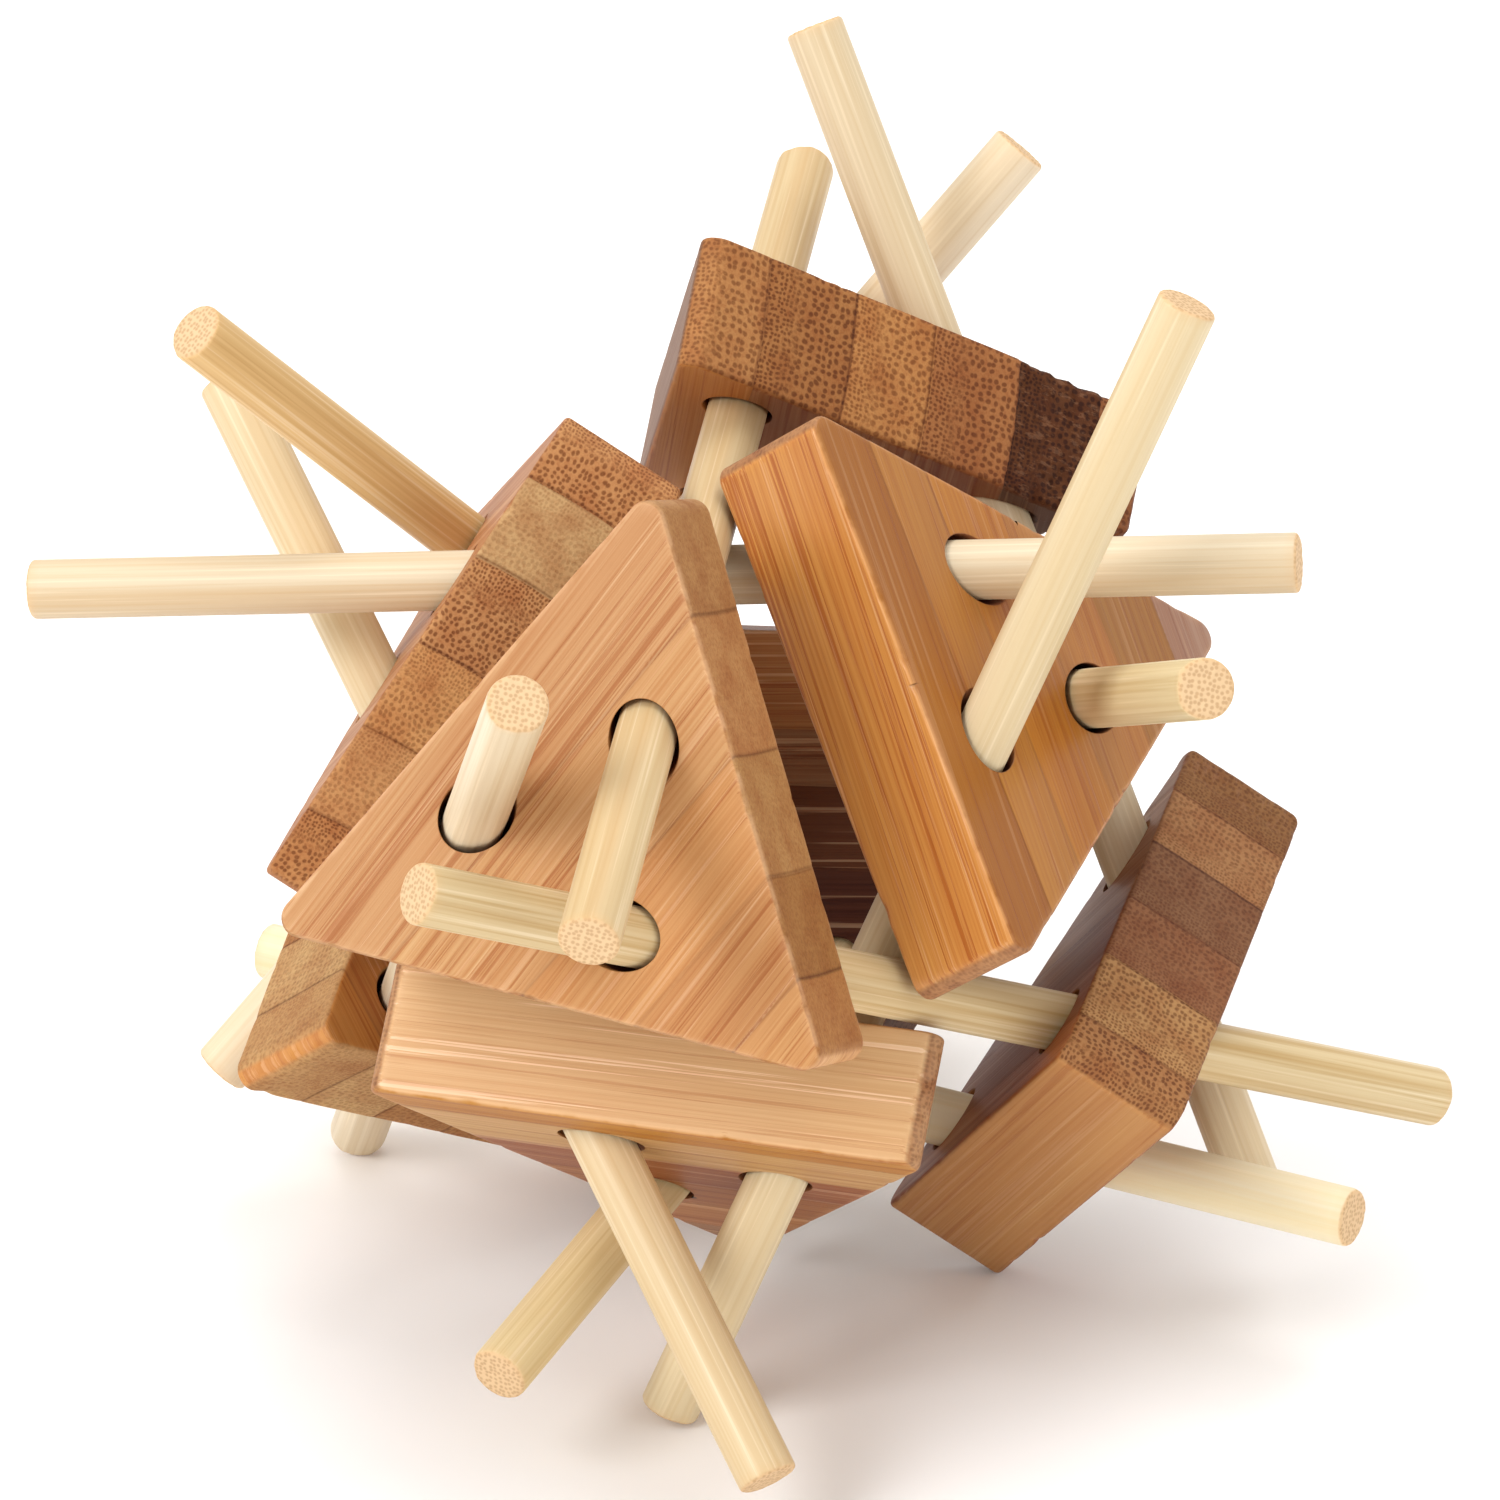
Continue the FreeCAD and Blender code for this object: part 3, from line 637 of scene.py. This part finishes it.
# A stick in its own millimetres, z along it: a profile from one end's middle, out across the sawn end, round
# its edge, along the rod and in again, turned about z. The radius is let in by ridges, sums of cosines of the
# angle that drift slowly along the length, and each end plane is sawn a little off square.
def stickSurface(seed):
    m = stickMaker
    random = np.random.default_rng(seed)
    half = m["length"] / 2
    flatEnd = m["radius"] - m["endRounding"]
    quarter = np.radians(np.linspace(0, 90, 5))
    across = np.linspace(0, flatEnd, m["acrossEnd"])[:-1]
    radius = np.concatenate([across, flatEnd + m["endRounding"] * np.sin(quarter)])
    height = np.concatenate([across * 0 + half, half - m["endRounding"] * (1 - np.cos(quarter))])
    rod = np.linspace(half - m["endRounding"], m["endRounding"] - half, m["along"] + 1)[1:-1]
    radius = np.concatenate([radius, rod * 0 + m["radius"], radius[::-1]])[:, None]
    height = np.concatenate([height, rod, -height[::-1]])[:, None]
    angle = np.linspace(0, 2 * math.pi, m["around"], endpoint=False)[None]
    let = np.zeros((len(height), m["around"]))
    for count in (2, 3, 5, 8, 11, 13, 17, 19, 22, 26):
        size = m["slowWaviness"] if count < 4 else m["ridges"]
        drift = random.uniform(-0.03, 0.03) * height + 0.5 * np.sin(height / random.uniform(9, 20))
        let += size * random.uniform(0.3, 1) * (1 + np.cos(count * angle + random.uniform(0, 6.3) + drift)) / 4
    let += 0.12 * smoothStep(np.cos(angle - random.uniform(0, 6.3)), 0.86, 0.98)  # one side split a little flat
    share = radius / m["radius"]
    rounded = radius - let * share ** 2
    x, y = rounded * np.cos(angle), rounded * np.sin(angle)
    for end in (1, -1):
        way = random.uniform(0, 2 * math.pi)
        slant = random.uniform(0.2, 1) * m["endSlant"] * (m["radius"] - x * math.cos(way) - y * math.sin(way))
        flat = np.stack([x, y], -1).reshape(-1, 2)
        fibres = 0.03 * (1 + smoothNoise(flat, 0.9, seed + end + 40).reshape(x.shape))
        near = smoothStep(end * height, half - 3, half - 0.2)
        height = height - end * near * (slant + fibres * smoothStep(-radius, -m["radius"], -flatEnd))
    points = np.stack([x, y, np.broadcast_to(height, x.shape)], -1)
    quads = gridQuads(*x.shape, 0, True)
    marks = np.zeros((x.size, 3))
    marks[:, 0] = (np.exp(-((half - np.abs(height)) / 0.5) ** 2) * smoothStep(share, 0.8, 1)
                  * np.ones_like(x)).reshape(-1)
    return points.reshape(-1, 3), quads, marks


# what all sticks' wood shares: noise scales per mm across the grain, tones, and the finish
rodWood = {
    "alongGrain": 0.012, "fine": 2.6, "broad": 0.9, "slow": 0.3, "lightTone": "#fbeacb",
    "dots": 2.3, "dotScatter": 0.6, "dotShow": 0.5, "pithTone": "#dab98f", "dotTone": "#a67c52",
    "handledTone": "#d8ab74", "handledShow": 0.35, "roughness": 0.36, "sawnRoughness": 0.62,
    "relief": 0.035, "reliefShow": 0.8, "ior": 1.5, "shine": 0.3,
}


# Natural bamboo rod: split from the culm's wall, turned round and left bare. The eye sees pale cream straw with
# long ochre fibre lines, a silky satin sheen, and tan dots where the bundles are cut at the ends.
def naturalBamboo(name, look, axes, middle):
    material = bpy.data.materials.new(name)
    material.use_nodes = True
    tree = material.node_tree
    tree.nodes.clear()
    place = addNode(tree, "ShaderNodeTexCoord").outputs["Object"]
    rod = addNode(tree, "ShaderNodeMapping", {  # the stick's own millimetres
        "Vector": place, "Location": middle * mm, "Rotation": Matrix(axes.tolist()).to_euler("XYZ"),
        "Scale": (mm, mm, mm)}, vector_type="TEXTURE").outputs[0]
    facing = addNode(tree, "ShaderNodeAttribute", attribute_name="facing").outputs["Vector"]
    facing = addNode(tree, "ShaderNodeSeparateXYZ", {0: facing})
    marks = addNode(tree, "ShaderNodeAttribute", attribute_name="marks").outputs["Vector"]
    marks = addNode(tree, "ShaderNodeSeparateXYZ", {0: marks})
    seedShift = (look["seed"] * 3.7, look["seed"] * 1.9, look["seed"] * 0.8)
    drawn = addNode(tree, "ShaderNodeVectorMath", {0: rod, 1: (1, 1, rodWood["alongGrain"]), 2: seedShift},
                    operation="MULTIPLY_ADD").outputs[0]
    fine = addNode(tree, "ShaderNodeTexNoise", {
        "Vector": drawn, "Scale": rodWood["fine"], "Detail": 2.0, "Roughness": 0.5}).outputs[0]
    broad = addNode(tree, "ShaderNodeTexNoise", {
        "Vector": drawn, "Scale": rodWood["broad"], "Detail": 2.0, "Roughness": 0.5}).outputs[0]
    slow = addNode(tree, "ShaderNodeTexNoise", {
        "Vector": drawn, "Scale": rodWood["slow"], "Detail": 1.0}).outputs[0]
    lines = addNode(tree, "ShaderNodeMapRange", {0: fine, 1: 0.52, 2: 0.66, 4: look["stripes"] * 0.8}).outputs[0]
    bands = addNode(tree, "ShaderNodeMapRange", {0: broad, 1: 0.42, 2: 0.7, 4: look["stripes"]}).outputs[0]
    light = addNode(tree, "ShaderNodeMapRange", {0: fine, 1: 0.42, 2: 0.3, 4: 0.3}).outputs[0]
    patch = addNode(tree, "ShaderNodeMapRange", {0: slow, 1: 0.4, 2: 0.65, 4: 0.3}).outputs[0]
    stripe = toLinear(look["stripeTone"])
    tone = addNode(tree, "ShaderNodeMix", {0: patch, 6: toLinear(look["tone"]), 7: stripe},
                   data_type="RGBA").outputs[2]
    tone = addNode(tree, "ShaderNodeMix", {0: bands, 6: tone, 7: stripe}, data_type="RGBA").outputs[2]
    tone = addNode(tree, "ShaderNodeMix", {0: lines, 6: tone, 7: stripe}, data_type="RGBA").outputs[2]
    tone = addNode(tree, "ShaderNodeMix", {0: light, 6: tone, 7: toLinear(rodWood["lightTone"])},
                   data_type="RGBA").outputs[2]

    # sawn ends: bundles 0.4 mm across show as tan dots in pale pith
    section = addNode(tree, "ShaderNodeVectorMath", {0: rod, 1: (1, 1, 0), 2: seedShift},
                      operation="MULTIPLY_ADD").outputs[0]
    dots = addNode(tree, "ShaderNodeTexVoronoi", {
        "Vector": section, "Scale": rodWood["dots"], "Randomness": rodWood["dotScatter"]},
        voronoi_dimensions="2D").outputs[0]
    dots = addNode(tree, "ShaderNodeMapRange", {0: dots, 1: 0.46, 2: 0.22, 4: rodWood["dotShow"]}).outputs[0]
    sawn = addNode(tree, "ShaderNodeMix", {
        0: dots, 6: toLinear(rodWood["pithTone"]), 7: toLinear(rodWood["dotTone"])},
                   data_type="RGBA").outputs[2]
    endways = addNode(tree, "ShaderNodeMath", {0: facing.outputs[2]}, operation="ABSOLUTE").outputs[0]
    endways = addNode(tree, "ShaderNodeMapRange", {0: endways, 1: 0.35, 2: 0.75}).outputs[0]
    colour = addNode(tree, "ShaderNodeMix", {0: endways, 6: tone, 7: sawn}, data_type="RGBA").outputs[2]
    handled = addNode(tree, "ShaderNodeMath", {0: marks.outputs[0], 1: rodWood["handledShow"]},
                      operation="MULTIPLY").outputs[0]
    colour = addNode(tree, "ShaderNodeMix", {0: handled, 6: colour, 7: toLinear(rodWood["handledTone"])},
                     data_type="RGBA").outputs[2]
    gloss = addNode(tree, "ShaderNodeMapRange", {
        0: endways, 3: rodWood["roughness"], 4: rodWood["sawnRoughness"]}).outputs[0]
    gloss = addNode(tree, "ShaderNodeMath", {0: fine, 1: 0.2, 2: gloss}, operation="MULTIPLY_ADD").outputs[0]
    sunk = addNode(tree, "ShaderNodeMath", {0: dots, 1: endways}, operation="MULTIPLY").outputs[0]
    height = addNode(tree, "ShaderNodeMath", {0: sunk, 1: -0.8, 2: fine}, operation="MULTIPLY_ADD").outputs[0]
    bump = addNode(tree, "ShaderNodeBump", {
        "Height": height, "Distance": rodWood["relief"] * mm, "Strength": rodWood["reliefShow"]}).outputs[0]
    shader = addNode(tree, "ShaderNodeBsdfPrincipled", {
        "Base Color": colour, "Roughness": gloss, "IOR": rodWood["ior"],
        "Specular IOR Level": rodWood["shine"], "Normal": bump})
    addNode(tree, "ShaderNodeOutputMaterial", {0: shader.outputs[0]})
    return material


for node, look in stickLooks.items():
    middle, along = stickLines[node]
    aside = np.cross(along, (0.2, 0.3, 1.0))
    aside /= np.linalg.norm(aside)
    axes = np.stack([aside, np.cross(along, aside), along], axis=1)
    points, quads, marks = stickSurface(look["seed"])
    piece = makePiece(node + "_rod", points, quads, marks, axes, middle)
    piece.data.materials.append(naturalBamboo("natural bamboo rod, " + node, look, axes, middle))
    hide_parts(node)
    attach(piece, node)
print("sticks made")


# a plain pale floor and soft light from three sides
studio = {"floorTone": "#fbfaf9", "floorSize": 6.0, "floorRoughness": 0.9,
          "worldTone": "#ffffff", "worldStrength": 0.7,
          "lights": [  # name, place in metres, width, watts
              ("key", (-0.9, -1.3, 1.3), 1.0, 23.0),
              ("fill", (1.5, -0.9, 0.7), 1.3, 6.0),
              ("top", (0.1, 0.5, 1.7), 1.4, 18.0)]}

grid = np.array([[x, y, 0] for x in (-1, 1) for y in (-1, 1)], float) * studio["floorSize"] / 2
floorMesh = bpy.data.meshes.new("floor")
floorMesh.from_pydata(grid.tolist(), [], [(0, 2, 3, 1)])
floor = bpy.data.objects.new("floor", floorMesh)
bpy.context.scene.collection.objects.link(floor)
floorMaterial = bpy.data.materials.new("matt paper sweep")  # plain studio paper
floorMaterial.use_nodes = True
paper = floorMaterial.node_tree.nodes["Principled BSDF"].inputs
paper["Base Color"].default_value = toLinear(studio["floorTone"])
paper["Roughness"].default_value = studio["floorRoughness"]
floorMesh.materials.append(floorMaterial)

world = bpy.data.worlds.new("white studio")
world.use_nodes = True
sky = world.node_tree.nodes["Background"].inputs
sky["Color"].default_value = toLinear(studio["worldTone"])
sky["Strength"].default_value = studio["worldStrength"]
bpy.context.scene.world = world

for name, place, width, watts in studio["lights"]:
    light = bpy.data.lights.new(name, "AREA")
    light.shape, light.size, light.energy = "SQUARE", width, watts
    lamp = bpy.data.objects.new(name, light)
    lamp.location = place
    lamp.rotation_euler = Vector(place).to_track_quat("Z", "Y").to_euler()
    lamp.visible_camera = False
    bpy.context.scene.collection.objects.link(lamp)

# the camera looks from azimuth and elevation at aim, rolled a little, with a long lens
cameraLook = {"azimuth": 21.23, "elevation": 26.71, "roll": -1.25, "aim": (0.4, -0.5, 48.8), "distance": 755.5,
              "lens": 219.25, "sensor": 36.0}
turn, lift, roll = (math.radians(cameraLook[k]) for k in ("azimuth", "elevation", "roll"))
ahead = np.array([-math.sin(turn) * math.cos(lift), math.cos(turn) * math.cos(lift), -math.sin(lift)])
level = np.array([math.cos(turn), math.sin(turn), 0])
rise = np.cross(level, ahead)
right = level * math.cos(roll) + rise * math.sin(roll)
up = rise * math.cos(roll) - level * math.sin(roll)
eye = (np.array(cameraLook["aim"]) - ahead * cameraLook["distance"]) * mm
camera = bpy.data.objects.new("camera", bpy.data.cameras.new("camera"))
camera.data.lens, camera.data.sensor_width = cameraLook["lens"], cameraLook["sensor"]
camera.data.clip_start, camera.data.clip_end = 0.05, 20
rows = np.stack([right, up, -ahead, eye], axis=1).tolist()
camera.matrix_world = Matrix(rows + [[0, 0, 0, 1]])
bpy.context.scene.collection.objects.link(camera)
bpy.context.scene.camera = camera
bpy.context.scene.view_settings.view_transform = "Standard"
print("studio made")
